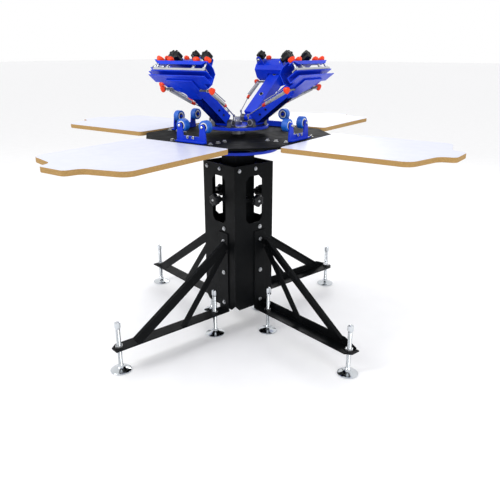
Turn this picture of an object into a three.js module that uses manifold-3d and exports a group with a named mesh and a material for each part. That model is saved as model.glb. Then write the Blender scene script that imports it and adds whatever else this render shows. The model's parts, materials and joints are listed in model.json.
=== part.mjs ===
// Screen printing carousel: a four-colour, four-station press on a levelled stand.
//
// Millimetres, +Z up, origin on the floor under the spindle. The first station points along +X and the
// others follow every quarter turn. The stand's column and legs are turned by LEG_ANGLE against them.

import * as THREE from 'three';
import { mergeVertices } from 'three/addons/utils/BufferGeometryUtils.js';
import Module from 'manifold-3d';

const wasm = await Module();
wasm.setup();

// ---------------------------------------------------------------- driving dimensions

const QUARTERS = [0, 1, 2, 3];
const QUARTER_TURN = Math.PI / 2;
const GAP = 0.3;                       // between pieces that touch in the real press
const FREE = 2 * GAP;                  // around a pin or screw in its hole
const PAST = 20;                       // how far a cutting tool runs past the piece it cuts
const LEG_ANGLE = THREE.MathUtils.degToRad(-14.25);

// Levelling foot: the dome is an outline of [radius, height] points.
const FOOT = {
  dome: [[42, 0], [42, 4], [30, 9], [15, 15]], nut: { radius: 11, low: 18, high: 30 }, rod: 9,
  head: { radius: 12, low: 194, edge: 210 }, height: 216, outer: 641, inner: 167, side: 33,
};
const BAR = {
  start: 100, end: 668, width: 62, steel: 5, top: 105, flange: 30, hang: 40, heel: 12, radius: 12,
  toe: [26, 22], tip: { back: 14, slope: 60, height: 6 }, skirtEnd: 638,
};
const BRACE = { depth: 40, lip: 17, low: [578, 112], high: [116, 422] };
const PROP = { depth: 28, low: [352, 104], high: [124, 396] };
const STRIP = { top: 470, steel: 5 };

const COLUMN = { half: 107, sheet: 3, bottom: 115, top: 765, chamfer: 24, fold: 24 };
const WINDOW = { half: 45, low: 510, high: 715, chamfer: 18, bar: 12, eye: 16 };
const NECK = { half: 50, wall: 4, bottom: 200, top: 814, flange: 18, plate: 8 };
const GUIDE = { levels: [300, 742], thick: 6, notch: [22, 8] };
const KNOB = { radius: 27, lobe: 4.5, lobes: 6, thick: 22, neck: 11, stud: 5, stand: 12 };

const SPINDLE = { radius: 15, bottom: 770, top: 952, collar: 30, nut: 22, nutHeight: 14, step: 3 };
const LOWER_DISC = { radius: 170, bottom: 815, thick: 12 };
const DECK = { half: 205, reach: 335, bottom: 872, top: 880 };
const FRAME = { half: 80, reach: 320, corner: 175, bottom: 849, wall: 5, boss: 45 };
const RAIL = { half: 30, wall: 6, start: 65, end: 790, bottom: 846, top: 865.6 };
// Pallet board: [reach, side, radius] of its corners, from the inner end to the end tab.
const PALLET = {
  corners: [[350, 225, 18], [834, 225, 44], [875, 74, 40], [929, 60, 22]], bottom: 866, top: 884,
};
const FORK = {
  face: 294, steel: 6, half: 71, gap: 36, edge: 900, base: 904, waist: 912, flange: 312, ledge: 5,
  root: 17, neck: 15, crown: 11,
};
const ROLLER = {
  side: 56, height: 940, radius: 24.5, face: 265.5, width: 25, axle: 6, stop: 4, washer: 9,
  rim: 18, hub: 16, recess: 1,
};

const UPPER_DISC = { radius: 130, bottom: 907, thick: 11 };
const HINGE = { reach: 100, height: 937, pin: 6, end: 54, barrel: 15, play: 2 };
const PILLOW = { near: 31, far: 51, radius: 14, back: 21, front: 17, foot: 7 };
const RING = { half: 78, reach: 96, corner: 90, inner: 80, thick: 3 };
const RAISED = THREE.MathUtils.degToRad(36.9);
const BEAM = { half: 29, bottom: -12, top: 30, wall: 3, start: 4, plug: 22, end: 268 };
const SADDLE = { start: 226, flare: 246, end: 308, half: 64, bottom: -18, top: -13, root: 190 };
const PAD = { end: 262, half: 27 };
const JAW = { front: 331, back: 285, half: 134, floor: -12, sheet: 3, ledge: 11 };
const SHELL = { half: 100, nose: 334, crest: 312, heel: 254, toe: 329, notch: 37, notchTop: 34, gate: 274 };
const SHELL_BACK = [[303, 66], [270, 64], [249, 54], [243, 14]];
const BRIDGE = { half: 124, back: 308, front: 336, top: 47, lip: 33, slope: 22 };
const BAR_CLAMP = { half: 124, from: 309, to: 332.4, bottom: 11.6, top: 20, wall: 3 };
const SCREWS = { reach: 325, sides: [-112, -62, 62, 112], radius: 4, head: 9, bottom: 49, top: 62 };
const MICRO = {
  reach: 299, side: 72, height: 94, radius: 20, lobe: 3.5, lobes: 6, half: 13, collar: 9, stud: 5, tail: 265,
};
const EAR = { reach: 268, root: 18, crown: 12, steel: 4, bottom: 61.5 };

// ---------------------------------------------------------------- materials

const BLUE = { color: 0x1c34c4, roughness: 0.35, metalness: 0.25 };
const BLACK = { color: 0x0b0d10, roughness: 0.4, metalness: 0.35 };
const STEEL = { color: 0xc2c9cf, roughness: 0.28, metalness: 0.95 };
const BOARD = { color: 0xe6e9f4, roughness: 0.5, metalness: 0.0 };
const TYRE = { color: 0x2a72d8, roughness: 0.5, metalness: 0.0 };
const PLASTIC = { color: 0x111317, roughness: 0.45, metalness: 0.0 };
const ZINC = { color: 0xd7dade, roughness: 0.35, metalness: 0.9 };

// ---------------------------------------------------------------- solids

// A three.js geometry as a manifold solid: positions only, shared vertices merged.
function toSolid(geometry) {
  const bare = new THREE.BufferGeometry();
  bare.setAttribute('position', geometry.getAttribute('position'));
  bare.setIndex(geometry.index);
  const merged = mergeVertices(bare, 1e-3);
  const corners = merged.index.array;
  const triangles = [];
  for (let i = 0; i < corners.length; i += 3) {
    const [a, b, c] = [corners[i], corners[i + 1], corners[i + 2]];
    if (a !== b && b !== c && c !== a) triangles.push(a, b, c);
  }
  return new wasm.Manifold(new wasm.Mesh({
    numProp: 3,
    vertProperties: Float32Array.from(merged.getAttribute('position').array),
    triVerts: Uint32Array.from(triangles),
  }));
}

function toGeometry(solid) {
  const mesh = solid.getMesh();
  const shared = new THREE.BufferGeometry();
  shared.setAttribute('position', new THREE.BufferAttribute(mesh.vertProperties, 3));
  shared.setIndex(new THREE.BufferAttribute(mesh.triVerts, 1));
  const faceted = shared.toNonIndexed();
  faceted.computeVertexNormals();
  return faceted;
}

function join(solids) {
  return solids.reduce((whole, solid) => whole.add(solid));
}

function cut(solid, tools) {
  return tools.reduce((rest, tool) => rest.subtract(tool), solid);
}

// A block between two values along each axis.
function block(x, y, z) {
  const geometry = new THREE.BoxGeometry(x[1] - x[0], y[1] - y[0], z[1] - z[0]);
  geometry.translate((x[0] + x[1]) / 2, (y[0] + y[1]) / 2, (z[0] + z[1]) / 2);
  return toSolid(geometry);
}

// A round bar along 'x', 'y' or 'z' from one value to another; centre holds the two other coordinates.
function rod(axis, radius, from, to, centre, sides = 20) {
  const geometry = new THREE.CylinderGeometry(radius, radius, to - from, sides);
  geometry.translate(0, (from + to) / 2, 0);
  if (axis === 'x') {
    geometry.rotateZ(-QUARTER_TURN);
    geometry.translate(0, centre[0], centre[1]);
  } else if (axis === 'z') {
    geometry.rotateX(QUARTER_TURN);
    geometry.translate(centre[0], centre[1], 0);
  } else {
    geometry.translate(centre[0], 0, centre[1]);
  }
  return toSolid(geometry);
}

// A closed outline from corners [a, b, radius]; a radius rounds its corner with an arc.
function outline(corners) {
  const shape = new THREE.Shape();
  corners.forEach(([a, b, radius = 0], i) => {
    const corner = new THREE.Vector2(a, b);
    const before = corners.at(i - 1);
    const after = corners[(i + 1) % corners.length];
    const back = new THREE.Vector2(before[0] - a, before[1] - b).normalize();
    const ahead = new THREE.Vector2(after[0] - a, after[1] - b).normalize();
    const half = Math.acos(back.dot(ahead)) / 2;
    const run = radius / Math.tan(half);
    const start = corner.clone().addScaledVector(back, run);
    if (i === 0) shape.moveTo(start.x, start.y);
    else shape.lineTo(start.x, start.y);
    if (radius === 0) return;
    const end = corner.clone().addScaledVector(ahead, run);
    const middle = back.clone().add(ahead).normalize();
    const centre = corner.clone().addScaledVector(middle, radius / Math.sin(half));
    const from = start.sub(centre).angle();
    const to = end.sub(centre).angle();
    shape.absarc(centre.x, centre.y, radius, from, to, back.cross(ahead) > 0);
  });
  shape.closePath();
  return shape;
}

// A plate with its outline in XY, XZ or YZ, between two values along the third axis.
function plate(plane, shape, from, to, curveSegments = 2) {
  const options = { depth: to - from, bevelEnabled: false, curveSegments };
  const geometry = new THREE.ExtrudeGeometry(shape, options);
  if (plane === 'xy') geometry.translate(0, 0, from);
  if (plane === 'xz') geometry.rotateX(QUARTER_TURN).translate(0, to, 0);
  if (plane === 'yz') geometry.rotateY(QUARTER_TURN).rotateX(QUARTER_TURN).translate(from, 0, 0);
  return toSolid(geometry);
}

// A solid of revolution about +Z from [radius, height] points that start and end on the axis.
function turned(profile, sides) {
  const points = profile.map(([radius, height]) => new THREE.Vector2(radius, height));
  return toSolid(new THREE.LatheGeometry(points, sides).rotateX(QUARTER_TURN));
}

// The wavy outline of a lobed hand knob.
function lobedOutline(radius, lobe, lobes) {
  const steps = lobes * 4;
  const points = [];
  for (let i = 0; i < steps; i += 1) {
    const angle = (i / steps) * 2 * Math.PI;
    const reach = radius - lobe * (0.5 - 0.5 * Math.cos(lobes * angle));
    points.push(new THREE.Vector2(reach * Math.cos(angle), reach * Math.sin(angle)));
  }
  return new THREE.Shape(points);
}

function mesh(name, solid, look) {
  const part = new THREE.Mesh(toGeometry(solid), new THREE.MeshStandardMaterial(look));
  part.name = name;
  return part;
}

// ---------------------------------------------------------------- stand

// A levelling foot stands on its domed pad; its screw carries the bar of a leg.
function levellingFoot() {
  const { dome, nut, rod: shank, head, height } = FOOT;
  return turned([
    [0, 0], ...dome, [nut.radius, nut.low], [nut.radius, nut.high], [shank, nut.high], [shank, head.low],
    [head.radius, head.low], [head.radius, head.edge], [0, height],
  ], 12);
}

// The flat sloping bar between two points of a leg's side view.
function slopingBar(low, high, depth, side) {
  const along = new THREE.Vector2(high[0] - low[0], high[1] - low[1]).normalize();
  const across = new THREE.Vector2(-along.y, along.x).multiplyScalar(-depth / 2);
  const shape = new THREE.Shape([
    new THREE.Vector2(...low).sub(across),
    new THREE.Vector2(...low).add(across),
    new THREE.Vector2(...high).add(across),
    new THREE.Vector2(...high).sub(across),
  ]);
  return plate('xz', shape, side[0], side[1]);
}

// The long brace is an angle: a web in the side view and a lip along its upper edge.
function longBrace() {
  const { width, steel } = BAR;
  const { low, high, depth, lip } = BRACE;
  const slope = Math.atan2(high[1] - low[1], low[0] - high[0]);
  const ridge = (depth - steel) / 2;
  const lift = ([x, z]) => [x + ridge * Math.sin(slope), z + ridge * Math.cos(slope)];
  const web = slopingBar(low, high, depth, [width - steel, width]);
  return web.add(slopingBar(lift(low), lift(high), steel, [width - lip, width]));
}

// One leg is a weldment: an angle bar, a bolted strip, a long brace of angle steel and a short prop.
function legFrame(flangeUp) {
  const { start, end, width, steel, top, flange, hang, heel, radius, toe, tip, skirtEnd } = BAR;
  const under = top - steel;
  const near = COLUMN.half + GAP;
  const sole = plate('xy', outline([
    [start, 0, radius], [end - toe[0], 0], [end, toe[1]], [end, width], [start, width, radius],
  ]), under, top);
  const tipEnd = end - tip.back;
  const upright = plate('xz', outline([
    [start + heel, under], [tipEnd, under], [tipEnd, top + tip.height],
    [tipEnd - tip.slope, top + flange], [start + heel, top + flange],
  ]), width - steel, width);
  const skirt = block([start + heel, skirtEnd], [0, steel], [top - hang, top]);
  const strip = block([near, near + STRIP.steel], [0, width], [under, STRIP.top]);
  const prop = slopingBar(PROP.low, PROP.high, PROP.depth, [width - 2 * steel, width - steel + 1]);
  const column = block([0, near], [-width, 2 * width], [under, STRIP.top]);
  const ground = block([0, end], [-PAST, width + PAST], [0, under + steel / 2]);
  const braces = cut(longBrace().add(prop), [column, ground]);
  const holes = [FOOT.inner, FOOT.outer].map(
    (reach) => rod('z', FOOT.rod + FREE, under - PAST, top + PAST, [reach, FOOT.side], 14),
  );
  return cut(join([sole, flangeUp ? upright : skirt, strip, braces]), holes);
}

// A column side is a folded sheet: its fold laps behind the next side.
function columnPanel() {
  const { half, sheet, bottom, top, chamfer, fold } = COLUMN;
  const edge = half - sheet - GAP;
  const through = [half - sheet - PAST, half + PAST];
  const face = plate('yz', outline([
    [-half, bottom + chamfer], [chamfer - half, bottom], [edge - chamfer, bottom],
    [edge, bottom + chamfer], [edge, top], [-half, top],
  ]), half - sheet, half);
  const lap = block([half - fold, half], [edge - sheet, edge], [bottom + chamfer, top]);
  const { half: w, low, high, chamfer: c, bar, eye } = WINDOW;
  const middle = (low + high) / 2;
  const opening = plate('yz', outline([
    [-w + c, low], [w - c, low], [w, low + c], [w, high - c], [w - c, high], [c - w, high], [-w, high - c],
    [-w, low + c],
  ]), half - 2 * sheet, half + sheet);
  const crossbar = block([half - sheet, half], [-w - bar, w + bar], [middle - bar / 2, middle + bar / 2]);
  const boss = rod('x', eye, half - sheet, half, [0, middle], 16);
  const hole = rod('x', KNOB.stud + FREE, ...through, [0, middle], 12);
  return cut(join([cut(join([face, lap]), [opening]), crossbar, boss]), [hole]);
}

// A lobed knob whose stud clamps the inner column.
function columnKnob() {
  const height = (WINDOW.low + WINDOW.high) / 2;
  const { radius, lobe, lobes, thick, neck: neckRadius, stud: studRadius, stand } = KNOB;
  const grip = plate('yz', lobedOutline(radius, lobe, lobes), 0, thick);
  const neck = rod('x', neckRadius, 2 + GAP - stand, 1, [0, 0], 12);
  const stud = rod('x', studRadius, NECK.half - COLUMN.half - stand + FREE, 1, [0, 0], 10);
  return join([grip, neck, stud]).translate([COLUMN.half + stand, 0, height]);
}

function squareTube(half, wall, bottom, top) {
  const inside = half - wall;
  return cut(block([-half, half], [-half, half], [bottom, top]), [
    block([-inside, inside], [-inside, inside], [bottom - PAST, top + PAST]),
  ]);
}

// The inner column slides in the outer one and carries both wheels.
function innerColumn() {
  const { half, wall, bottom, top, flange, plate: thick } = NECK;
  const collar = squareTube(half + flange, flange + wall, top - thick, top - GAP);
  return squareTube(half, wall, bottom, top - GAP).add(collar);
}

// A guide plate fills the outer column around the inner one; its corners clear the folds of the sides.
function columnGuide(level) {
  const { thick, notch } = GUIDE;
  const outer = COLUMN.half - 2 * COLUMN.sheet - FREE;
  const inner = NECK.half + GAP;
  const cutter = [level - PAST, level + PAST];
  const corner = block([outer - notch[0], outer + PAST], [outer - notch[1], outer + PAST], cutter);
  return cut(block([-outer, outer], [-outer, outer], [level, level + thick]), [
    block([-inner, inner], [-inner, inner], cutter),
    ...QUARTERS.map((k) => corner.rotate([0, 0, 90 * k])),
  ]);
}

// ---------------------------------------------------------------- spindle and pallet wheel

function spindle() {
  const { radius, bottom, top, collar, nut, nutHeight, step } = SPINDLE;
  const collarBottom = DECK.top + GAP;
  const collarTop = UPPER_DISC.bottom - GAP;
  const nutBottom = UPPER_DISC.bottom + UPPER_DISC.thick + GAP;
  const nutTop = nutBottom + nutHeight;
  return turned([
    [0, bottom], [radius, bottom], [radius, collarBottom], [collar, collarBottom], [collar, collarTop],
    [radius, collarTop], [radius, nutBottom], [nut, nutBottom], [nut, nutTop], [radius - step, nutTop],
    [radius - step, top - step], [radius - 2 * step, top], [0, top],
  ], 20);
}

function disc({ radius, bottom, thick }) {
  const plain = rod('z', radius, bottom, bottom + thick, [0, 0], 48);
  const bore = rod('z', SPINDLE.radius + FREE, bottom - PAST, bottom + thick + PAST, [0, 0], 24);
  return cut(plain, [bore]);
}

// An outline that repeats the same corners on each of four sides.
function fourSided(corners) {
  const points = QUARTERS.flatMap((k) => corners.map(
    ([a, b]) => new THREE.Vector2(a, b).rotateAround(new THREE.Vector2(), k * QUARTER_TURN),
  ));
  return new THREE.Shape(points);
}

// A square with cut-off corners.
function octagonOutline(half, reach) {
  return fourSided([[reach, -half], [reach, half]]);
}

// A cross with four arms and cut-off inner corners.
function crossOutline(half, reach, corner) {
  return fourSided([[reach, -half], [reach, half], [corner, half], [half, corner]]);
}

// The pallet wheel's deck plate over a cross frame, with the bearing boss and a channel rail for each pallet.
function palletHub() {
  const { half: arm, reach, corner, bottom, wall: steel, boss } = FRAME;
  const seam = DECK.top - 1;
  const deck = plate('xy', octagonOutline(DECK.half, DECK.reach), DECK.bottom, DECK.top);
  const cross = plate('xy', crossOutline(arm, reach, corner), bottom, seam);
  const hollow = crossOutline(arm - steel, reach - steel, corner - steel / 2);
  const frame = cut(cross, [plate('xy', hollow, bottom - PAST, DECK.bottom)]);
  const bearing = rod('z', boss, LOWER_DISC.bottom + LOWER_DISC.thick + GAP, seam, [0, 0], 24);
  const { half, wall, start, end, bottom: railBottom, top: railTop } = RAIL;
  const channel = cut(block([0, end], [-half, half], [railBottom, railTop]), [
    block([start, end - wall], [wall - half, half - wall], [railBottom - PAST, railTop - wall]),
  ]);
  const rails = QUARTERS.map((k) => channel.rotate([0, 0, 90 * k]));
  const bore = rod('z', SPINDLE.radius + FREE, LOWER_DISC.bottom, DECK.top + PAST, [0, 0], 24);
  return cut(join([deck, frame, bearing, ...rails]), [bore]);
}

// A pallet board: square inner end, slanting shoulders with soft corners and a narrow end tab.
function pallet() {
  const { corners, bottom, top } = PALLET;
  const right = corners.map(([reach, side, radius]) => [reach, -side, radius]);
  return plate('xy', outline([...right, ...corners.toReversed()]), bottom, top, 3);
}

// One horn of a registration fork: a tapered cheek with a round top, and the shaft and washer of its roller.
function forkHorn() {
  const { face, steel, waist, root, neck, crown } = FORK;
  const { side, height, face: rollerFace, width, axle, stop, washer } = ROLLER;
  const foot = DECK.top + GAP;
  const centre = [side, height];
  return join([
    plate('yz', outline([
      [side - root, foot], [side + root, foot], [side + neck, waist], [side + crown, height],
      [side - crown, height], [side - neck, waist],
    ]), face, face + steel),
    rod('x', crown, face, face + steel, centre, 16),
    rod('x', axle, rollerFace - stop, face + 1, centre, 12),
    rod('x', washer, rollerFace + width + GAP, face + 1, centre, 12),
  ]);
}

// A registration fork stands on the deck and carries a roller on each of its two horns.
function registrationFork() {
  const { face, steel, half, gap, edge, base, flange, ledge } = FORK;
  const foot = DECK.top + GAP;
  const sill = plate('yz', outline([
    [-half, foot], [half, foot], [half, edge], [gap, base], [-gap, base], [-half, edge],
  ]), face, face + steel);
  const shelf = block([face, flange], [-half, half], [foot, foot + ledge]);
  return join([sill, shelf, forkHorn(), forkHorn().mirror([0, 1, 0])]);
}

// A roller turns on its horn's axle; the ends of its hub stand back from the tyre.
function roller() {
  const { radius, width, axle, rim, hub, recess } = ROLLER;
  const half = width / 2;
  const round = turned([
    [0, recess - half], [hub, recess - half], [rim, -half], [radius, -half], [radius, half], [rim, half],
    [hub, half - recess], [0, half - recess],
  ], 18);
  return cut(round, [rod('z', axle + FREE, -half - PAST, half + PAST, [0, 0], 14)]);
}

// ---------------------------------------------------------------- print wheel

// A pillow block from one side of its arm's hinge to the other value along the hinge.
function pillowBlock(side) {
  const { radius, back, front, foot } = PILLOW;
  const { reach, height } = HINGE;
  const bottom = UPPER_DISC.bottom + UPPER_DISC.thick + GAP;
  return join([
    block([reach - back, reach + front], side, [bottom, bottom + foot]),
    block([reach - radius, reach + radius], side, [bottom, height]),
    rod('y', radius, side[0], side[1], [reach, height], 16),
  ]);
}

// A square ring on the upper disc with two pillow blocks and a pin for each print arm.
function hingeCarrier() {
  const { reach, height, pin, end } = HINGE;
  const { near, far } = PILLOW;
  const { half, reach: outer, corner, inner, thick } = RING;
  const foot = UPPER_DISC.bottom + UPPER_DISC.thick + GAP;
  const ring = cut(plate('xy', crossOutline(half, outer, corner), foot, foot + thick), [
    block([-inner, inner], [-inner, inner], [foot - PAST, foot + PAST]),
  ]);
  const hinge = join([
    pillowBlock([near, far]), pillowBlock([-far, -near]), rod('y', pin, -end, end, [reach, height], 12),
  ]);
  return join([ring, ...QUARTERS.map((k) => hinge.rotate([0, 0, 90 * k]))]);
}

// A print arm in its own frame: hinge axis at the origin, beam along +X, saddle for the clamp at its end.
function printArm() {
  const { half, bottom, top, wall, start, plug, end } = BEAM;
  const { root, flare, half: wide } = SADDLE;
  const beam = cut(block([start, end], [-half, half], [bottom, top]), [
    block([plug, end + PAST], [wall - half, half - wall], [bottom + wall, top - wall]),
  ]);
  const shoulder = PILLOW.near - HINGE.play;
  const barrel = rod('y', HINGE.barrel, -shoulder, shoulder, [0, 0], 24);
  const saddle = plate('xy', outline([
    [root, -half], [SADDLE.start, -half], [flare, -wide], [SADDLE.end, -wide],
    [SADDLE.end, wide], [flare, wide], [SADDLE.start, half], [root, half],
  ]), SADDLE.bottom, SADDLE.top);
  const pad = block([root, PAD.end], [-PAD.half, PAD.half], [SADDLE.top - 1, bottom + 1]);
  const bore = rod('y', HINGE.pin + FREE, -half - PAST, half + PAST, [0, 0], 20);
  return cut(join([beam, barrel, saddle, pad]), [bore]);
}

// The closed line of a bent sheet: its outer corners, and the same corners set in by the sheet's thickness.
function bentSheet(corners, sheet) {
  const points = corners.map(([x, z]) => new THREE.Vector2(x, z));
  const inner = points.map((point, i) => {
    const back = i > 0 ? point.clone().sub(points[i - 1]).normalize() : null;
    const ahead = i < points.length - 1 ? points[i + 1].clone().sub(point).normalize() : null;
    const [first, second] = [back ?? ahead, ahead ?? back];
    const normal = new THREE.Vector2(-first.y - second.y, first.x + second.x).normalize();
    const spread = normal.dot(new THREE.Vector2(-first.y, first.x));
    return point.clone().addScaledVector(normal, sheet / spread);
  });
  return new THREE.Shape([...points, ...inner.toReversed()]);
}

// A lip across the clamp with sloping ends: wide at one height, narrower at the other.
function slopedLip(x, wide, narrow, slope) {
  return plate('yz', outline([
    [-wide.half, wide.z], [slope - wide.half, narrow], [wide.half - slope, narrow], [wide.half, wide.z],
  ]), x[0], x[1]);
}

// An ear is a tab with a round top; the stud of an adjusting knob passes through it.
function ear(side) {
  const { reach, root, crown, steel, bottom } = EAR;
  const tab = plate('yz', outline([
    [side - root, bottom], [side + root, bottom], [side + crown, MICRO.height], [side - crown, MICRO.height],
  ]), reach, reach + steel);
  return tab.add(rod('x', crown, reach, reach + steel, [side, MICRO.height], 20));
}

// The bent sheet of the screen clamp, open outwards, with a gate in its back for the beam.
function clampShell() {
  const { half, nose, crest, heel, toe, notch, notchTop, gate } = SHELL;
  const { floor, sheet } = JAW;
  const profile = bentSheet([
    [nose, BRIDGE.top], [crest, BRIDGE.top], ...SHELL_BACK, [heel, floor], [toe, floor],
  ], sheet);
  return cut(plate('xz', profile, -half, half), [
    block([heel - 2 * PAST, gate], [-notch, notch], [floor - sheet, notchTop]),
  ]);
}

// The lower jaw of the screen clamp is a wide channel that opens outwards.
function clampJaw() {
  const { front, back, half, floor, sheet, ledge } = JAW;
  return join([
    block([back, front], [-half, half], [floor, floor + sheet]),
    block([back, back + sheet], [-half, half], [floor, ledge]),
    block([back, front], [-half, half], [ledge - sheet, ledge]),
  ]);
}

// The screen clamp: shell, lower jaw, a bridge for the screws and two ears for the adjusting knobs.
function clampFrame() {
  const { half, back, front, top, lip, slope } = BRIDGE;
  const { sheet } = JAW;
  const bridge = block([back, front], [-half, half], [top - sheet, top]).add(
    slopedLip([front - sheet, front], { half, z: top }, lip, slope),
  );
  const holes = SCREWS.sides.map(
    (side) => rod('z', SCREWS.radius + FREE, top - PAST / 2, top + PAST, [SCREWS.reach, side], 8),
  );
  const sides = [-MICRO.side, MICRO.side];
  const eyes = sides.map((side) => rod(
    'x', MICRO.stud + FREE, EAR.reach - PAST / 2, EAR.reach + PAST / 2, [side, MICRO.height], 12,
  ));
  return cut(join([clampShell(), clampJaw(), bridge, ...sides.map(ear)]), [...holes, ...eyes]);
}

// The pressing bar is a channel that hangs on four screws; the screws' heads carry the clamp knobs.
function pressingBar() {
  const { half, from, to, bottom, top, wall } = BAR_CLAMP;
  const channel = cut(block([from, to], [-half, half], [bottom, top]), [
    block([from + wall, to - wall], [-half - PAST, half + PAST], [bottom - PAST, top - wall]),
  ]);
  const screws = SCREWS.sides.map((side) => join([
    rod('z', SCREWS.radius, top - 1, SCREWS.top, [SCREWS.reach, side], 8),
    rod('z', SCREWS.head, SCREWS.bottom, SCREWS.top, [SCREWS.reach, side], 10),
  ]));
  return join([channel, ...screws]);
}

// The micro-registration knob turns on its stud in an ear on top of the clamp; its axis is the local X.
function microKnob() {
  const { reach, radius, lobe, lobes, half, collar: collarRadius, stud, tail } = MICRO;
  const grip = plate('yz', lobedOutline(radius, lobe, lobes), -half, half);
  const collar = rod('x', collarRadius, EAR.reach + EAR.steel + GAP - reach, 1 - half, [0, 0], 12);
  const pin = rod('x', stud, tail - reach, 1 - half, [0, 0], 10);
  return join([grip, collar, pin]);
}

// ---------------------------------------------------------------- assembly

const carousel = new THREE.Group();

const stand = new THREE.Group();
stand.rotation.z = LEG_ANGLE;
carousel.add(stand);

const flangeUpLegs = [0, 1];
for (const k of QUARTERS) {
  const side = new THREE.Group();
  side.rotation.z = k * QUARTER_TURN;
  stand.add(side);
  side.add(mesh(`leg_frame_${k + 1}`, legFrame(flangeUpLegs.includes(k)), BLACK));
  side.add(mesh(`column_panel_${k + 1}`, columnPanel(), BLACK));
  side.add(mesh(`column_knob_${k + 1}`, columnKnob(), PLASTIC));
  for (const place of ['outer', 'inner']) {
    const foot = mesh(`levelling_foot_${place}_${k + 1}`, levellingFoot(), STEEL);
    foot.position.set(FOOT[place], FOOT.side, 0);
    side.add(foot);
  }
}
stand.add(mesh('inner_column', innerColumn(), BLACK));
stand.add(mesh('column_guide_lower', columnGuide(GUIDE.levels[0]), BLACK));
stand.add(mesh('column_guide_upper', columnGuide(GUIDE.levels[1]), BLACK));

carousel.add(mesh('spindle', spindle(), STEEL));
carousel.add(mesh('lower_disc', disc(LOWER_DISC), BLUE));
carousel.add(mesh('pallet_hub', palletHub(), BLACK));
carousel.add(mesh('upper_disc', disc(UPPER_DISC), BLUE));
carousel.add(mesh('hinge_carrier', hingeCarrier(), ZINC));

for (const k of QUARTERS) {
  const station = new THREE.Group();
  station.rotation.z = k * QUARTER_TURN;
  carousel.add(station);
  station.add(mesh(`pallet_${k + 1}`, pallet(), BOARD));
  station.add(mesh(`registration_fork_${k + 1}`, registrationFork(), BLUE));
  for (const [name, sign] of [['left', 1], ['right', -1]]) {
    const wheel = mesh(`roller_${name}_${k + 1}`, roller(), TYRE);
    wheel.rotation.y = QUARTER_TURN;
    wheel.position.set(ROLLER.face + ROLLER.width / 2, sign * ROLLER.side, ROLLER.height);
    station.add(wheel);
  }
  const arm = new THREE.Group();
  arm.position.set(HINGE.reach, 0, HINGE.height);
  arm.rotation.y = -RAISED;
  station.add(arm);
  arm.add(mesh(`print_arm_${k + 1}`, printArm(), BLUE));
  arm.add(mesh(`screen_clamp_${k + 1}`, clampFrame(), BLUE));
  arm.add(mesh(`pressing_bar_${k + 1}`, pressingBar(), ZINC));
  const knob = mesh(`micro_knob_${k + 1}`, microKnob(), PLASTIC);
  knob.position.set(MICRO.reach, MICRO.side, MICRO.height);
  arm.add(knob);
}

export default carousel;
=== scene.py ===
"""Screen printing carousel: fine shapes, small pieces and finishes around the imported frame.

Sizes are in millimetres and become metres when a piece is made. Station 1 points along +X and the
others follow every quarter turn; the stand's legs and column are turned by LEG_TURN against them.
"""
import json
from math import cos, pi, radians, sin

import bmesh
import bpy
from mathutils import Matrix, Vector

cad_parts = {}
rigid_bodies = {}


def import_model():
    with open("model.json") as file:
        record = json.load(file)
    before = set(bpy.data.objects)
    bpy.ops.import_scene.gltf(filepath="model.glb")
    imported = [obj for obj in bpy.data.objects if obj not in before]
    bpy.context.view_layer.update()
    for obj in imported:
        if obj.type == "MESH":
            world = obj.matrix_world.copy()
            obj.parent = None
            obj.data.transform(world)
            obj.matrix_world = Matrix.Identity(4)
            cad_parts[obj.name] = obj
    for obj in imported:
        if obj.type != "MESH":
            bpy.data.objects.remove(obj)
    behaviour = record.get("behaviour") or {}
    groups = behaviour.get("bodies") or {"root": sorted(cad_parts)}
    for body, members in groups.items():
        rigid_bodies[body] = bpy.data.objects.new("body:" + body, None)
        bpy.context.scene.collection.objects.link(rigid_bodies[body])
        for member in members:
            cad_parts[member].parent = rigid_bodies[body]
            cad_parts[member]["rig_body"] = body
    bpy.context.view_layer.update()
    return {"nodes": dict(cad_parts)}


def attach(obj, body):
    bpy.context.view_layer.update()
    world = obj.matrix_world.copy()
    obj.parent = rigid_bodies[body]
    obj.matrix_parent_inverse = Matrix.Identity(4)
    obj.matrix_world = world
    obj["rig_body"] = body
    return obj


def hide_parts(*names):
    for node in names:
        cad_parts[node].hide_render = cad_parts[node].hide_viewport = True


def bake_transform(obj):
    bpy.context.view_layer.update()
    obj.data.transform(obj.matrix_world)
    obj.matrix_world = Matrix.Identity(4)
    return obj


for leftover in list(bpy.data.objects):
    bpy.data.objects.remove(leftover)
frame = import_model()

# ---------------------------------------------------------------- sizes, in millimetres

MM = 0.001
QUARTERS = (1, 2, 3, 4)
SIDES = (1, -1)
LEG_TURN = -14.25
RAISED = 36.9
CLEAR = 0.1  # air between a small piece and the face it stands on
GAP = 0.3  # air between turned parts

FOOT = {"pad": 42, "rod": 9, "head": 12, "height": 216, "thread": (31, 188),
        "outer": 641, "inner": 167, "side": 33}
BAR = {"top": 105, "steel": 5, "nut": (11, 16), "nut_height": 9}
STRIP = {"face": 112.3, "middle": 33, "bolts": (140, 285, 430), "end_bolt": 487}
COLUMN = {"face": 107, "bolts": (-80, 8), "bolt_height": 745}
COLUMN_KNOB = {"radius": 27, "thick": 22, "recess": 12, "neck": 11, "stud": 5, "stand": 12, "height": 612.5}
NECK_HALF = 50

SPINDLE = {"radius": 15, "bottom": 770, "top": 952, "collar": 30, "nut": 22, "nut_height": 14,
           "thread": 12, "tip": 9}
LOWER_DISC = {"radius": 170, "bottom": 815, "thick": 12}
UPPER_DISC = {"radius": 130, "bottom": 907, "thick": 11}
DECK = {"top": 880, "bolts": (215, 255, 300), "side": 96}

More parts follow.
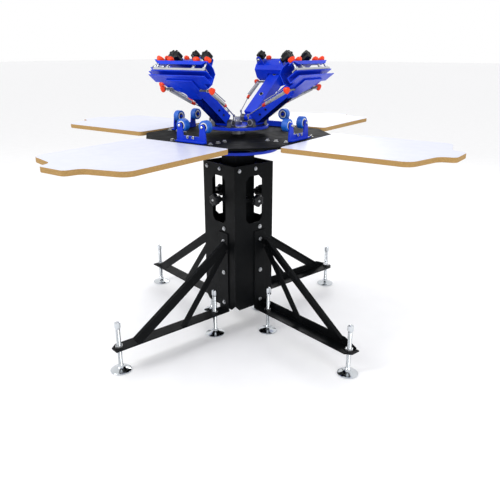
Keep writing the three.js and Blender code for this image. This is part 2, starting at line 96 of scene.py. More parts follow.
FORK = {"face": 300, "spacer": 14, "spacer_height": 899.4, "sleeve": (3, 5.7), "sleeve_length": 5}
ROLLER = {"side": 56, "height": 940, "radius": 24.5, "face": 265.5, "width": 25,
          "tyre": 17, "hub": 12.6, "bore": 6.6}

HINGE = {"reach": 100, "height": 937, "far": 51, "foot": 925.3, "screw_back": 17.6, "screw_side": 41}
BEAM = {"half": 29, "top": 30, "top_bolts": (117, 250), "side_bolts": (46, 80), "side_height": 6}
PRESS = {"half": 124, "from": 309, "to": 332.4, "bottom": 11.6, "top": 20, "wall": 3}
SCREW = {"reach": 325, "sides": (-112, -62, 62, 112), "radius": 4, "top": 56, "seat": 48}
RED_KNOB = {"radius": 14, "length": 20}
MICRO = {"reach": 299, "side": 72, "height": 94, "radius": 20, "front": 12, "back": -17,
         "recess": 9, "neck": 9, "stud": 5}
EAR = {"front": 272.3, "stud_tip": 260}
GRIP = {"reach": 252, "side": 108, "height": -17.5, "stud": 4, "root": 62, "past": 3}
SPRING = {"head": (236, 99, -13), "tail": (126, 82, 7), "radius": 5.5, "wire": 1.25, "turns": 36,
          "steps": 14, "hook": 1.4, "hook_side": 98, "guide": 1.7, "guide_rise": 12}
ADJUSTER = [(0, -3), (5, -3), (6.5, -1), (6.5, 17), (5, 19), (0, 19)]
LINK = {"start": (126, 82, 7), "end": (4, 45, 30), "radius": 2.2, "steps": 24,
        "eye": 5, "eye_wire": 1.6, "eye_steps": 20, "bend_from": 14, "bend_to": 0.35}
POST = {"side": 43, "rise": 12, "past": 5, "radius": 3}

# Rings as inner radius, outer radius and height.
BEARING_SHIELD = (6.6, 9.4, 2.4)
BEARING_INSERT = (9.6, 13, 1.6)
BEAM_WASHER = (6.5, 9.5, 1.2)
SCREW_NUT = (4.8, 8, 5)

# Bolt heads as radius and height.
HEADS = {"strip": (7, 6), "sheet": (6, 5.5), "deck": (7, 7), "knob": (6, 4), "horn": (6, 5),
         "pillow": (3, 3.4), "beam_top": (6.3, 5), "beam_side": (4.5, 3.5)}
WASHER = {"share": 1.35, "thick": 1.4}
HEXAGON = 6
FINE_THREAD = (1.5, 0.4)

# ---------------------------------------------------------------- places

CENTRE = Matrix.Identity(4)
TO_X = Matrix.Rotation(pi / 2, 4, "Y")
# Draws an XY outline in the XZ plane, so that its prism runs along Y.
PROFILE_XZ = Matrix(((1, 0, 0, 0), (0, 0, -1, 0), (0, 1, 0, 0), (0, 0, 0, 1)))


def shift(x, y, z):
    return Matrix.Translation((x, y, z))


def turn(degrees):
    """A turn round the vertical axis."""
    return Matrix.Rotation(radians(degrees), 4, "Z")


def station(k):
    """The frame of station k, with X out along its pallet."""
    return turn(90 * (k - 1))


def leg(k):
    """The frame of leg k, with X out along it."""
    return turn(LEG_TURN + 90 * (k - 1))


def arm(k):
    """The raised print arm's own frame: hinge at the origin, beam along X, Z out of its top."""
    hinge = station(k) @ shift(HINGE["reach"], 0, HINGE["height"])
    return hinge @ Matrix.Rotation(-radians(RAISED), 4, "Y")


def between(start, end):
    """A frame at start whose Z points to end."""
    along = Vector(end) - Vector(start)
    return shift(*start) @ along.to_track_quat("Z", "Y").to_matrix().to_4x4()


def outward(side):
    """Z turned to +Y on the left side and to -Y on the right side."""
    return Matrix.Rotation(-side * pi / 2, 4, "X")


def mirrored(point, side):
    """The left side's point, or its mirror image on the right side."""
    return Vector((point[0], side * point[1], point[2]))


# ---------------------------------------------------------------- mesh work

SHARP = radians(34)
FLAT = radians(1)
SAME_PLACE = 1e-5


def bridge(bm, low, high, paint):
    """Faces between two rings of points; a ring of one point is a pole."""
    count = max(len(low), len(high))
    for i in range(count):
        j = (i + 1) % count
        corners = (low[i % len(low)], low[j % len(low)], high[j % len(high)], high[i % len(high)])
        face = bm.faces.new(list(dict.fromkeys(corners)))
        face.material_index = paint


def lathe(bm, profile, place, paint=0, steps=32, lobes=0, share=0.0, closed=False):
    """Turns (radius, height) points round Z. Lobes cut waves into the radius, by a share of it."""
    rings = []
    for radius, height in profile:
        points = []
        for i in range(steps if radius > 0 else 1):
            angle = 2 * pi * i / steps
            reach = radius * (1 - share * (0.5 - 0.5 * cos(lobes * angle)))
            point = Vector((reach * cos(angle), reach * sin(angle), height))
            points.append(bm.verts.new(place @ point))
        rings.append(points)
    following = rings[1:] + rings[:1] if closed else rings[1:]
    for low, high in zip(rings, following):
        bridge(bm, low, high, paint)


def ring(bm, inner, outer, low, high, place, paint=0, steps=32):
    """A flat ring or a short tube."""
    profile = [(inner, low), (outer, low), (outer, high), (inner, high)]
    lathe(bm, profile, place, paint, steps, closed=True)


def prism(bm, outline, low, high, place, paint=0):
    """A plate with a counter-clockwise outline in XY."""
    bottom = [bm.verts.new(place @ Vector((x, y, low))) for x, y in outline]
    top = [bm.verts.new(place @ Vector((x, y, high))) for x, y in outline]
    for corners in (list(reversed(bottom)), top):
        bm.faces.new(corners).material_index = paint
    bridge(bm, bottom, top, paint)


def tube(bm, path, radius, place, paint=0, steps=8):
    """A round bar along a path of points."""
    points = [place @ Vector(point) for point in path]
    side = None
    rings = []
    for i, point in enumerate(points):
        ahead = (points[min(i + 1, len(points) - 1)] - points[max(i - 1, 0)]).normalized()
        side = ahead.orthogonal() if side is None else side - ahead * side.dot(ahead)
        side.normalize()
        up = ahead.cross(side)
        angles = [2 * pi * j / steps for j in range(steps)]
        rings.append([bm.verts.new(point + radius * (cos(a) * side + sin(a) * up)) for a in angles])
    for low, high in zip(rings, rings[1:]):
        bridge(bm, low, high, paint)
    bm.faces.new(list(reversed(rings[0]))).material_index = paint
    bm.faces.new(rings[-1]).material_index = paint


def thread(radius, low, high, pitch=2.5, depth=0.7):
    """Profile points of a threaded rod, from low to high."""
    points = []
    for i in range(int((high - low) / pitch)):
        points += [(radius, low + pitch * i), (radius - depth, low + pitch * (i + 0.5))]
    return points + [(radius, high)]


def threaded_rod(bm, radius, low, high, place, paint, steps):
    """A rod with a fine thread and flat ends."""
    profile = [(0, low)] + thread(radius, low, high, *FINE_THREAD) + [(0, high)]
    lathe(bm, profile, place, paint, steps)


def hex_bolt(bm, place, radius, height, paint=0):
    """A hexagon head with a washer under it; it stands on the place's XY."""
    reach, thick = radius * WASHER["share"], WASHER["thick"]
    lathe(bm, [(0, 0), (reach, 0), (reach, thick), (0, thick)], place, paint, 24)
    head = [(0, thick), (radius, thick), (radius, height - 1), (radius - 1, height), (0, height)]
    lathe(bm, head, place, paint, HEXAGON)


def socket_bolt(bm, place, radius, height, paint=0):
    """A round head with a socket."""
    hole, floor_height = radius * 0.5, height * 0.4
    profile = [(0, 0), (radius, 0), (radius, height - 0.8), (radius - 0.8, height)]
    profile += [(hole, height), (hole, floor_height), (0, floor_height)]
    lathe(bm, profile, place, paint, 24)


def dome_bolt(bm, place, radius, height, paint=0):
    """A low round head."""
    profile = [(0, 0), (radius, 0), (radius, height * 0.35), (radius * 0.85, height * 0.75)]
    profile += [(radius * 0.45, height), (0, height)]
    lathe(bm, profile, place, paint, 24)


def make(name, bm, body, finishes, bevel=0.5, replaced=()):
    """Turns a bmesh in millimetres into a piece; one with no body is not attached to any body."""
    bmesh.ops.recalc_face_normals(bm, faces=bm.faces)
    bm.transform(Matrix.Scale(MM, 4))
    return finish_piece(name, bm, body, finishes, bevel, replaced)


def finish_piece(name, bm, body, finishes, bevel, replaced):
    """Turns a bmesh in metres into a smooth piece with rounded edges that rides on a body."""
    mesh = bpy.data.meshes.new(name)
    for face in bm.faces:
        face.smooth = True
    bm.to_mesh(mesh)
    bm.free()
    for finish in finishes:
        mesh.materials.append(finish)
    piece = bpy.data.objects.new(name, mesh)
    bpy.context.scene.collection.objects.link(piece)
    if bevel:
        edge = piece.modifiers.new("rounded_edges", "BEVEL")
        edge.width = bevel * MM
        edge.segments = 2
        edge.limit_method = "ANGLE"
        edge.angle_limit = SHARP
        edge.use_clamp_overlap = False
    else:
        mesh.set_sharp_from_angle(angle=SHARP)
    normals = piece.modifiers.new("even_shading", "WEIGHTED_NORMAL")
    normals.keep_sharp = True
    if body:
        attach(piece, body)
    if replaced:
        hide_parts(*replaced)
    return piece


def refined(node, finishes, bevel, sort=None, split=False):
    """A clean copy of a CAD node: joined corners, whole flat faces and rounded edges.

    Faces that run round an opening are split again, since rounding their edges would close the opening.
    """
    source = frame["nodes"][node]
    bm = bmesh.new()
    bm.from_mesh(source.data)
    bmesh.ops.remove_doubles(bm, verts=bm.verts, dist=SAME_PLACE)
    bmesh.ops.dissolve_limit(bm, angle_limit=FLAT, verts=bm.verts, edges=bm.edges)
    if split:
        bmesh.ops.triangulate(bm, faces=[face for face in bm.faces if len(face.verts) > 4])
    for face in bm.faces:
        face.material_index = sort(face) if sort else 0
    return finish_piece(f"{node}_fine", bm, source["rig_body"], finishes, bevel, (node,))


# ---------------------------------------------------------------- finishes


class Graph:
    """A material's nodes, wired by short calls."""

    def __init__(self, name):
        self.material = bpy.data.materials.new(name)
        self.material.use_nodes = True
        self.nodes = self.material.node_tree.nodes
        self.links = self.material.node_tree.links
        self.shader = self.nodes["Principled BSDF"]
        self.place = self.add("ShaderNodeTexCoord").outputs["Object"]

    def add(self, kind, **settings):
        node = self.nodes.new(kind)
        for key, value in settings.items():
            setattr(node, key, value)
        return node

    def link(self, output, socket):
        self.links.new(output, socket)

    def noise(self, scale, detail=3.0, stretch=(1, 1, 1)):
        """Noise of so many grains to the metre."""
        mapping = self.add("ShaderNodeMapping")
        mapping.inputs["Scale"].default_value = stretch
        self.link(self.place, mapping.inputs["Vector"])
        texture = self.add("ShaderNodeTexNoise")
        texture.inputs["Scale"].default_value = scale
        texture.inputs["Detail"].default_value = detail
        self.link(mapping.outputs["Vector"], texture.inputs["Vector"])
        return texture.outputs["Fac"]

    def spread(self, value, low, high, start=0.3, end=0.7):
        """The value's middle stretch as numbers from low to high."""
        node = self.add("ShaderNodeMapRange")
        node.inputs["From Min"].default_value = start
        node.inputs["From Max"].default_value = end
        node.inputs["To Min"].default_value = low
        node.inputs["To Max"].default_value = high
        self.link(value, node.inputs["Value"])
        return node.outputs["Result"]

    def mix(self, factor, first, second):
        """A colour between two; each is a colour or an output."""
        node = self.add("ShaderNodeMix", data_type="RGBA")
        self.link(factor, node.inputs["Factor"])
        for socket, colour in ((node.inputs[6], first), (node.inputs[7], second)):
            if isinstance(colour, tuple):
                socket.default_value = (*colour, 1)
            else:
                self.link(colour, socket)
        return node.outputs[2]

    def times(self, first, second):
        node = self.add("ShaderNodeMath", operation="MULTIPLY")
        self.link(first, node.inputs[0])
        self.link(second, node.inputs[1])
        return node.outputs[0]

    def edges(self, radius):
        """Near 1 on an outer or inner edge, 0 on a flat face."""
        rounded = self.add("ShaderNodeBevel", samples=4)
        rounded.inputs["Radius"].default_value = radius * MM
        plain = self.add("ShaderNodeNewGeometry")
        dot = self.add("ShaderNodeVectorMath", operation="DOT_PRODUCT")
        self.link(rounded.outputs["Normal"], dot.inputs[0])
        self.link(plain.outputs["Normal"], dot.inputs[1])
        return self.spread(dot.outputs["Value"], 1, 0, start=0.9, end=0.995)

    def bump(self, height, strength, distance):
        node = self.add("ShaderNodeBump")
        node.inputs["Strength"].default_value = strength
        node.inputs["Distance"].default_value = distance * MM
        self.link(height, node.inputs["Height"])
        self.link(node.outputs["Normal"], self.shader.inputs["Normal"])


def surface(name, colour, shade, rough, metal=0.0, coat=0.0, worn=None, wear=0.5, edge=1.2,
            grain=(300, 0.06, 0.2), blotch=9, specular=0.5, stretch=(1, 1, 1)):
    """A finish: two tones in soft blotches, worn edges, uneven gloss and a fine bump.

    rough is the lowest and highest roughness; grain is the bump's grains to the metre, strength and depth.
    """
    graph = Graph(name)
    shader = graph.shader
    shader.inputs["Metallic"].default_value = metal
    shader.inputs["Coat Weight"].default_value = coat
    shader.inputs["Coat Roughness"].default_value = 0.06
    shader.inputs["Specular IOR Level"].default_value = specular
    blotches = graph.spread(graph.noise(blotch, 4, stretch), 0, 1)
    tone = graph.mix(blotches, colour, shade)
    if worn:
        scuffs = graph.spread(graph.noise(60, detail=6), 0, wear, start=0.4, end=0.7)
        tone = graph.mix(graph.times(graph.edges(edge), scuffs), tone, worn)
    graph.link(tone, shader.inputs["Base Color"])
    graph.link(graph.spread(graph.noise(26, 5, stretch), *rough), shader.inputs["Roughness"])
    scale, strength, depth = grain
    graph.bump(graph.noise(scale, 2, stretch), strength, depth)
    return graph.material


BLACK_TONES = ((0.002, 0.0025, 0.003), (0.004, 0.0045, 0.005))

BLUE = surface("blue_enamel", (0.002, 0.042, 0.66), (0.002, 0.024, 0.48), (0.26, 0.4), coat=0.06,
               worn=(0.06, 0.16, 0.8), wear=0.6, grain=(220, 0.05, 0.25), specular=0.2)
BLACK = surface("black_enamel", *BLACK_TONES, (0.38, 0.52),
                worn=(0.08, 0.08, 0.09), wear=0.5, grain=(240, 0.06, 0.25), specular=0.07)
MATT_BLACK = surface("matt_black_enamel", *BLACK_TONES, (0.5, 0.64),
                     worn=(0.05, 0.05, 0.055), wear=0.5, grain=(240, 0.06, 0.25), specular=0.02)
CHROME = surface("chrome", (0.66, 0.69, 0.72), (0.52, 0.55, 0.58), (0.08, 0.2), metal=1,
                 worn=(0.5, 0.48, 0.45), wear=0.4, grain=(500, 0.03, 0.1))
STEEL = surface("turned_steel", (0.5, 0.51, 0.52), (0.36, 0.37, 0.38), (0.24, 0.38), metal=1,
                worn=(0.85, 0.85, 0.85), grain=(900, 0.08, 0.1))
DARK_STEEL = surface("dark_steel", (0.14, 0.14, 0.145), (0.07, 0.07, 0.072), (0.25, 0.42), metal=0.9,
                     worn=(0.5, 0.5, 0.5), grain=(900, 0.08, 0.1))
ALUMINIUM = surface("bare_aluminium", (0.55, 0.56, 0.58), (0.42, 0.43, 0.45), (0.26, 0.4), metal=0.95,
                    worn=(0.95, 0.95, 0.95), grain=(700, 0.08, 0.15))
CAST = surface("zinc_casting", (0.13, 0.135, 0.15), (0.07, 0.072, 0.08), (0.3, 0.46), metal=0.8,
               worn=(0.6, 0.6, 0.62), grain=(500, 0.12, 0.2), blotch=30)
LAMINATE = surface("white_laminate", (0.66, 0.68, 0.8), (0.61, 0.635, 0.765), (0.3, 0.44), coat=0.15,
                   worn=(0.62, 0.6, 0.55), wear=0.4, edge=2, grain=(600, 0.08, 0.1), blotch=4)
BOARD_EDGE = surface("fibreboard_edge", (0.4, 0.24, 0.075), (0.28, 0.16, 0.045), (0.6, 0.85),
                     worn=(0.65, 0.5, 0.3), grain=(900, 0.5, 0.4), blotch=120, stretch=(1, 1, 6))
TYRE = surface("blue_tyre", (0.008, 0.13, 0.62), (0.006, 0.1, 0.5), (0.32, 0.46),
               worn=(0.2, 0.4, 0.85), wear=0.4, grain=(420, 0.12, 0.2), blotch=30)
WHITE = surface("white_nylon", (0.82, 0.83, 0.84), (0.72, 0.73, 0.74), (0.35, 0.5),
                worn=(0.6, 0.6, 0.6), grain=(500, 0.08, 0.15), blotch=40)
PLASTIC = surface("black_plastic", (0.003, 0.0035, 0.0045), (0.007, 0.0075, 0.009), (0.25, 0.38),
                  worn=(0.03, 0.03, 0.035), wear=0.7, grain=(600, 0.18, 0.2), blotch=40, specular=0.22)
RED = surface("red_plastic", (0.86, 0.06, 0.01), (0.74, 0.04, 0.008), (0.3, 0.42), coat=0.05,
              worn=(0.95, 0.2, 0.1), wear=0.5, grain=(500, 0.08, 0.2), blotch=40, specular=0.2)


# ---------------------------------------------------------------- stand


def levelling_foot(k, place):
    """A chromed foot: domed pad, collar, threaded rod and a round head."""
    bm = bmesh.new()
    pad, rod, head, height = (FOOT[key] for key in ("pad", "rod", "head", "height"))
    profile = [(0, 0), (pad - 1.5, 0), (pad, 1.5), (pad, 4), (pad - 2, 6), (pad * 0.8, 8.2)]
    profile += [(pad * 0.58, 11), (pad * 0.4, 14.5)]
    profile += [(rod + 4, 18), (rod + 3.4, 26), (rod + 1, 29)]
    profile += thread(rod, *FOOT["thread"])
    profile += [(head - 1, height - 25), (head, height - 22), (head, height - 6)]
    profile += [(head - 2, height - 2), (head * 0.5, height - 0.3), (0, height)]
    lathe(bm, profile, leg(k) @ shift(FOOT[place], FOOT["side"], 0), steps=36)
    name = f"levelling_foot_{place}_{k}"
    make(f"{name}_fine", bm, name, [CHROME], bevel=0, replaced=(name,))


def foot_nuts(k):
    """Lock nuts over and under the bar at both feet."""
    bm = bmesh.new()
    over = BAR["top"] + 2 * CLEAR
    under = BAR["top"] - BAR["steel"] - BAR["nut_height"] - 2 * CLEAR
    for place in ("outer", "inner"):
        for level in (over, under):
            corner = leg(k) @ shift(FOOT[place], FOOT["side"], level)
            ring(bm, *BAR["nut"], 0, BAR["nut_height"], corner, steps=HEXAGON)
    make(f"foot_nuts_{k}", bm, "stand", [STEEL])


def leg_bolts(k):
    """Hex bolts of the leg's strip and of the column sheets."""
    bm = bmesh.new()
    seats = [(STRIP["face"], STRIP["middle"], height, "strip") for height in STRIP["bolts"]]
    seats += [(COLUMN["face"], STRIP["middle"], STRIP["end_bolt"], "strip")]
    seats += [(COLUMN["face"], side, COLUMN["bolt_height"], "sheet") for side in COLUMN["bolts"]]
    for face, side, height, head in seats:
        hex_bolt(bm, leg(k) @ shift(face + CLEAR, side, height) @ TO_X, *HEADS[head])
    make(f"leg_bolts_{k}", bm, "stand", [STEEL], bevel=0.3)


def column_knob(k):
    """A six-lobed black knob, with a neck and a stud that ends just clear of the inner column."""
    bm = bmesh.new()
    radius, thick, recess, stand = (COLUMN_KNOB[key] for key in ("radius", "thick", "recess", "stand"))
    place = leg(k) @ shift(COLUMN["face"] + stand, 0, COLUMN_KNOB["height"]) @ TO_X
    grip = [(0, 0), (radius - 4, 0), (radius - 1, 1.5), (radius, 5), (radius, thick - 6)]
    grip += [(radius - 1.5, thick - 2), (radius - 5, thick), (recess, thick)]
    grip += [(recess - 2, thick - 2), (0, thick - 2)]
    lathe(bm, grip, place, steps=96, lobes=6, share=0.2)
    stud, neck = COLUMN_KNOB["stud"], COLUMN_KNOB["neck"]
    tip, front = NECK_HALF - COLUMN["face"] - stand + 2 * GAP, GAP - stand
    lathe(bm, [(0, tip), (stud, tip), (stud, front), (neck, front), (neck, 0.5), (0, 0.5)], place)
    dome_bolt(bm, place @ shift(0, 0, thick - 2), *HEADS["knob"], 1)
    name = f"column_knob_{k}"
    make(f"{name}_fine", bm, name, [PLASTIC, STEEL], bevel=0.4, replaced=(name,))


for k in QUARTERS:
    refined(f"leg_frame_{k}", [BLACK], 0.6, split=True)
    refined(f"column_panel_{k}", [BLACK], 0.5)
    for place in ("outer", "inner"):
        levelling_foot(k, place)
    foot_nuts(k)
    leg_bolts(k)
    column_knob(k)
for node in ("inner_column", "column_guide_lower", "column_guide_upper"):
    refined(node, [BLACK], 0.6)


# ---------------------------------------------------------------- column top and pallet wheel


def disc(node, size, body):
    """A blue disc with a hole for the spindle."""
    bm = bmesh.new()
    low, high = size["bottom"], size["bottom"] + size["thick"]
    ring(bm, SPINDLE["radius"] + 2 * GAP, size["radius"], low, high, CENTRE, steps=128)
    make(f"{node}_fine", bm, body, [BLUE], bevel=1.2, replaced=(node,))


def spindle():
    """The spindle, with a collar between deck and upper disc, a nut and a threaded end."""
    bm = bmesh.new()
    radius, collar, bottom, top = (SPINDLE[key] for key in ("radius", "collar", "bottom", "top"))
    collar_low, collar_high = DECK["top"] + GAP, UPPER_DISC["bottom"] - GAP
    nut_low = UPPER_DISC["bottom"] + UPPER_DISC["thick"] + GAP
    nut_high = nut_low + SPINDLE["nut_height"]
    profile = [(0, bottom), (radius, bottom), (radius, collar_low), (collar, collar_low)]
    profile += [(collar, collar_high), (radius, collar_high), (radius, nut_high)]
    profile += thread(SPINDLE["thread"], nut_high, top - 3, pitch=2, depth=0.6)
    profile += [(SPINDLE["tip"], top), (0, top)]
    lathe(bm, profile, CENTRE, steps=48)
    ring(bm, radius - 0.5, SPINDLE["nut"], nut_low, nut_high, CENTRE, steps=HEXAGON)
    make("spindle_fine", bm, "lift_column", [STEEL], bevel=0.4, replaced=("spindle",))


def hub_bolts(k):
    """Hex bolts in the deck, in two rows beside the rail of a pallet."""
    bm = bmesh.new()
    for side in SIDES:
        for reach in DECK["bolts"]:
            seat = station(k) @ shift(reach, side * DECK["side"], DECK["top"] + CLEAR)
            hex_bolt(bm, seat, *HEADS["deck"])
    make(f"hub_bolts_{k}", bm, "pallet_wheel", [STEEL], bevel=0.3)


def board_face(face):
    """0 for the laminate on top and underneath, 1 for the fibreboard edge."""
    return 0 if abs(face.normal.z) > 0.9 else 1


def fork_bolts(k):
    """Two spacer sleeves on the fork's sill, each with a black disc in its bore as painted shade, and a
    domed nut on each roller's horn.
    """
    bm = bmesh.new()
    hole, sleeve = FORK["sleeve"]
    reach = FORK["face"] + CLEAR
    for side in SIDES:
        spacer = station(k) @ shift(reach, side * FORK["spacer"], FORK["spacer_height"]) @ TO_X
        ring(bm, hole, sleeve, 0, FORK["sleeve_length"], spacer)
        # A thin black disc fills the foot of the sleeve's bore: painted shade inside the hole, not a real
        # part.
        lathe(bm, [(0, 0), (hole, 0), (hole, 1), (0, 1)], spacer, 1, 16)
        horn = station(k) @ shift(reach, side * ROLLER["side"], ROLLER["height"]) @ TO_X
        dome_bolt(bm, horn, *HEADS["horn"])
    make(f"fork_bolts_{k}", bm, "pallet_wheel", [CHROME, PLASTIC], bevel=0.3)


def roller(k, name, side):
    """A roller: blue tyre, white hub ring and a dark bearing shield, seen from both ends."""
    bm = bmesh.new()
    half, radius, tyre, hub = ROLLER["width"] / 2, ROLLER["radius"], ROLLER["tyre"], ROLLER["hub"]
    place = station(k) @ shift(ROLLER["face"] + half, side * ROLLER["side"], ROLLER["height"]) @ TO_X
    flank = [(tyre, half - 0.6), (tyre + 0.6, half), (radius - 2.5, half)]
    flank += [(radius - 0.7, half - 0.8), (radius, half - 2.6)]
    profile = [(reach, -height) for reach, height in flank] + flank[::-1]
    lathe(bm, profile, place, steps=64, closed=True)
    ring(bm, hub, tyre - 0.05, 0.4 - half, half - 0.4, place, 1, 64)
    ring(bm, ROLLER["bore"], hub - 0.05, 2.4 - half, half - 2.4, place, 2, 48)
    node = f"roller_{name}_{k}"
    finishes = [TYRE, WHITE, DARK_STEEL]
    make(f"{node}_fine", bm, node, finishes, bevel=0.4, replaced=(node,))


disc("lower_disc", LOWER_DISC, "lift_column")
disc("upper_disc", UPPER_DISC, "print_wheel")
spindle()
refined("pallet_hub", [MATT_BLACK], 0.8)
for k in QUARTERS:
    refined(f"pallet_{k}", [LAMINATE, BOARD_EDGE], 0.8, board_face)
    refined(f"registration_fork_{k}", [BLUE], 0.7)
    hub_bolts(k)
    fork_bolts(k)
    for name, side in (("left", 1), ("right", -1)):
        roller(k, name, side)


# ---------------------------------------------------------------- print wheel


def hinge_bearings(k):
    """Bearing inserts in the pillow blocks' outer faces, and the blocks' screws."""
    bm = bmesh.new()
    reach, height = HINGE["reach"], HINGE["height"]
    for side in SIDES:
        face = station(k) @ shift(reach, side * (HINGE["far"] + CLEAR), height) @ outward(side)
        for (inner, outer, thick), paint in ((BEARING_SHIELD, 1), (BEARING_INSERT, 0)):
            ring(bm, inner, outer, 0, thick, face, paint)
        screw = shift(reach - HINGE["screw_back"], side * HINGE["screw_side"], HINGE["foot"])
        socket_bolt(bm, station(k) @ screw, *HEADS["pillow"], 1)
    make(f"hinge_bearings_{k}", bm, "print_wheel", [ALUMINIUM, DARK_STEEL], bevel=0.25)


def beam_bolts(k):
    """Socket bolts, with washers on the beam's top and without on its sides."""
    bm = bmesh.new()
    inner, outer, thick = BEAM_WASHER
    for reach in BEAM["top_bolts"]:
        place = arm(k) @ shift(reach, 0, BEAM["top"] + CLEAR)
        ring(bm, inner, outer, 0, thick, place, 1)
        socket_bolt(bm, place, *HEADS["beam_top"])
    for side in SIDES:
        for reach in BEAM["side_bolts"]:
            seat = shift(reach, side * (BEAM["half"] + CLEAR), BEAM["side_height"])
            socket_bolt(bm, arm(k) @ seat @ outward(side), *HEADS["beam_side"])
    make(f"beam_bolts_{k}", bm, f"arm_{k}", [PLASTIC, STEEL], bevel=0.3)


def pressing_bar(k):
    """A folded aluminium channel hung on four threaded screws."""
    bm = bmesh.new()
    low, high, bottom, top, wall = (PRESS[key] for key in ("from", "to", "bottom", "top", "wall"))
    outline = [(low, bottom), (low + wall, bottom), (low + wall, top - wall), (high - wall, top - wall)]
    outline += [(high - wall, bottom), (high, bottom), (high, top), (low, top)]
    prism(bm, outline, -PRESS["half"], PRESS["half"], arm(k) @ PROFILE_XZ)
    hole, nut, thick = SCREW_NUT
    for side in SCREW["sides"]:
        place = arm(k) @ shift(SCREW["reach"], side, 0)
        threaded_rod(bm, SCREW["radius"], top - 1, SCREW["top"], place, 1, 20)
        ring(bm, hole, nut, top + CLEAR, top + thick, place, 1, HEXAGON)
    name = f"pressing_bar_{k}"
    make(f"{name}_fine", bm, f"bar_{k}", [ALUMINIUM, CHROME], bevel=0.35, replaced=(name,))


def red_knob(bm, place, share):
    """A three-lobed grip that swells away from its seat."""
    radius, length = RED_KNOB["radius"], RED_KNOB["length"]
    profile = [(0, 0), (radius * 0.5, 0), (radius * 0.62, length * 0.1), (radius * 0.85, length * 0.28)]
    profile += [(radius, length * 0.5), (radius * 0.98, length * 0.68), (radius * 0.8, length * 0.88)]
    profile += [(radius * 0.45, length * 0.98), (0, length)]
    lathe(bm, profile, place, steps=48, lobes=3, share=share)


def clamp_knobs(k):
    """Four red knobs on the pressing screws, each stopped at an angle of its own."""
    bm = bmesh.new()
    for side in SCREW["sides"]:
        place = arm(k) @ shift(SCREW["reach"], side, SCREW["seat"]) @ turn(side)
        red_knob(bm, place, 0.16)
    make(f"clamp_knobs_{k}", bm, f"bar_{k}", [RED], bevel=0)


def micro_knob(k, side):
    """A fluted knob on a stud in the clamp's ear; only the left one turns."""
    bm = bmesh.new()
    place = arm(k) @ shift(MICRO["reach"], side * MICRO["side"], MICRO["height"]) @ TO_X
    radius, front, back, recess = (MICRO[key] for key in ("radius", "front", "back", "recess"))
    grip = [(0, back), (radius - 5, back), (radius - 1.5, back + 1.5), (radius, back + 4)]
    grip += [(radius, front - 4), (radius - 1.5, front - 1.5), (radius - 5, front)]
    grip += [(recess, front), (recess - 1.5, front - 1.5), (0, front - 1.5)]
    lathe(bm, grip, place, steps=96, lobes=6, share=0.24)
    neck, ear, tip = MICRO["neck"], EAR["front"] - MICRO["reach"], EAR["stud_tip"] - MICRO["reach"]
    lathe(bm, [(0, ear), (neck, ear), (neck, back + 1), (0, back + 1)], place)
    threaded_rod(bm, MICRO["stud"], tip, ear, place, 1, 24)
    finishes = [PLASTIC, STEEL]
    if side > 0:
        name = f"micro_knob_{k}"
        make(f"{name}_fine", bm, f"micro_{k}", finishes, bevel=0, replaced=(name,))
    else:
        make(f"tilt_knob_{k}", bm, f"clamp_{k}", finishes, bevel=0)


def locking_knobs(k):
    """Red locking knobs on studs beside the saddle."""
    bm = bmesh.new()
    length = GRIP["side"] - GRIP["root"]
    for side in SIDES:
        stud = arm(k) @ shift(GRIP["reach"], side * GRIP["root"], GRIP["height"]) @ outward(side)
        threaded_rod(bm, GRIP["stud"], 0, length + GRIP["past"], stud, 1, 20)
        red_knob(bm, stud @ shift(0, 0, length), 0.18)
    make(f"locking_knobs_{k}", bm, f"arm_{k}", [RED, DARK_STEEL], bevel=0)


def coil(head, tail):
    """Points of the coil spring's wire from head to tail."""
    place, length = between(head, tail), (tail - head).length
    radius, steps = SPRING["radius"], SPRING["steps"]
    count = SPRING["turns"] * steps
    points = []
    for i in range(count + 1):
        angle = 2 * pi * i / steps
        points.append(place @ Vector((radius * cos(angle), radius * sin(angle), length * i / count)))
    return points


def hook(head, tail, side):
    """Points of the wire from the locking knob's stud into the spring."""
    stud = Vector((GRIP["reach"], side * SPRING["hook_side"], GRIP["height"]))
    round_stud = [stud + Vector(step) for step in ((5, 0, -2), (2, 0, -6), (-4, 0, -5))]
    return round_stud + [head, head.lerp(tail, 0.05)]


def lift_springs(k):
    """A coil spring on each side of the beam, with its hook, red adjuster and guide rod."""
    bm = bmesh.new()
    rise = Vector((0, 0, SPRING["guide_rise"]))
    for side in SIDES:
        head, tail = mirrored(SPRING["head"], side), mirrored(SPRING["tail"], side)
        tube(bm, coil(head, tail), SPRING["wire"], arm(k), 0, 6)
        tube(bm, hook(head, tail, side), SPRING["hook"], arm(k))
        lathe(bm, ADJUSTER, arm(k) @ between(tail, mirrored(LINK["end"], side)), 1, 24)
        tube(bm, [head + rise, tail + rise], SPRING["guide"], arm(k), 2)
    make(f"lift_springs_{k}", bm, f"arm_{k}", [STEEL, RED, CHROME], bevel=0)


def spring_link(k, side):
    """The link from a spring to its post on the pillow block: a straight rod with an eye at its end."""
    bm = bmesh.new()
    start, end = mirrored(LINK["start"], side), mirrored(LINK["end"], side)
    steps, eye_steps = LINK["steps"], LINK["eye_steps"]
    tube(bm, [start.lerp(end, i / steps) for i in range(steps + 1)], LINK["radius"], arm(k), 0, 10)
    angles = [2 * pi * i / eye_steps for i in range(eye_steps + 1)]
    eye = [end + LINK["eye"] * Vector((cos(angle), 0, sin(angle))) for angle in angles]
    tube(bm, eye, LINK["eye_wire"], arm(k))
    name = "left" if side > 0 else "right"
    link = make(f"spring_link_{name}_{k}", bm, None, [STEEL], bevel=0)
    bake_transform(link)


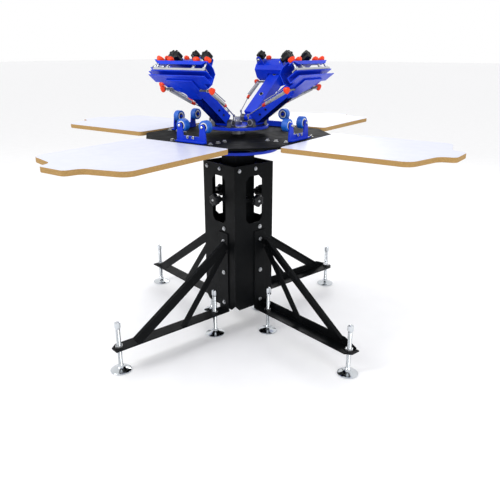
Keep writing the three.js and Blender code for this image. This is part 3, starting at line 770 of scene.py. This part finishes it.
def spring_posts(k):
    """Posts on the pillow blocks that hold the spring links."""
    bm = bmesh.new()
    for side in SIDES:
        top = station(k).inverted() @ arm(k) @ mirrored(LINK["end"], side)
        foot = (top.x, side * POST["side"], HINGE["height"] + POST["rise"])
        tube(bm, [foot, (top.x, top.y, top.z + POST["past"])], POST["radius"], station(k), 0, 16)
    make(f"spring_posts_{k}", bm, "print_wheel", [STEEL], bevel=0)


refined("hinge_carrier", [CAST], 0.6)
for k in QUARTERS:
    refined(f"print_arm_{k}", [BLUE], 1.0)
    refined(f"screen_clamp_{k}", [BLUE], 0.6)
    hinge_bearings(k)
    beam_bolts(k)
    pressing_bar(k)
    clamp_knobs(k)
    for side in SIDES:
        micro_knob(k, side)
        spring_link(k, side)
    locking_knobs(k)
    lift_springs(k)
    spring_posts(k)


# ---------------------------------------------------------------- floor, light and camera, in metres

FLOOR = {"half": 60, "drop": 0.0005}
# Name, place, target, watts and diameter.
LIGHTS = (
    ("key", (-1.6, -3.2, 3.2), (0, 0, 0.7), 70, 1.6),
    ("fill", (3.4, -1.2, 2.0), (0, 0, 0.7), 35, 1.8),
    ("back", (-1.5, 3.2, 2.6), (0, 0, 0.8), 30, 1.5),
)
# Lens and sensor in millimetres, turn in degrees.
CAMERA = {"lens": 39.69, "sensor": 36, "place": (1.4102, -1.9003, 1.2106), "turn": (70.107, 0, 35.32)}


def floor():
    """The plain floor, a little below the feet."""
    bm = bmesh.new()
    bmesh.ops.create_grid(bm, x_segments=1, y_segments=1, size=FLOOR["half"])
    mesh = bpy.data.meshes.new("floor")
    bm.to_mesh(mesh)
    bm.free()
    paint = surface("pale_floor", (0.93, 0.93, 0.94), (0.91, 0.91, 0.92), (0.6, 0.7))
    mesh.materials.append(paint)
    ground = bpy.data.objects.new("floor", mesh)
    ground.location.z = -FLOOR["drop"]
    bpy.context.scene.collection.objects.link(ground)


def area_light(name, place, target, power, size):
    """A round soft light at a place, aimed at a target."""
    light = bpy.data.lights.new(name, "AREA")
    light.energy = power
    light.shape = "DISK"
    light.size = size
    lamp = bpy.data.objects.new(name, light)
    lamp.location = place
    lamp.rotation_euler = (Vector(target) - Vector(place)).to_track_quat("-Z", "Y").to_euler()
    bpy.context.scene.collection.objects.link(lamp)


def studio():
    """White surroundings and three soft lights."""
    world = bpy.data.worlds.new("studio")
    world.use_nodes = True
    background = world.node_tree.nodes["Background"]
    background.inputs["Color"].default_value = (1, 1, 1, 1)
    background.inputs["Strength"].default_value = 1.0
    bpy.context.scene.world = world
    bpy.context.scene.view_settings.view_transform = "Standard"
    for light in LIGHTS:
        area_light(*light)


def camera():
    """The camera that the scene is seen through."""
    lens = bpy.data.cameras.new("camera")
    lens.lens = CAMERA["lens"]
    lens.sensor_width = CAMERA["sensor"]
    viewer = bpy.data.objects.new("camera", lens)
    viewer.location = CAMERA["place"]
    viewer.rotation_euler = [radians(angle) for angle in CAMERA["turn"]]
    bpy.context.scene.collection.objects.link(viewer)
    bpy.context.scene.camera = viewer


floor()
studio()
camera()

bpy.context.view_layer.update()
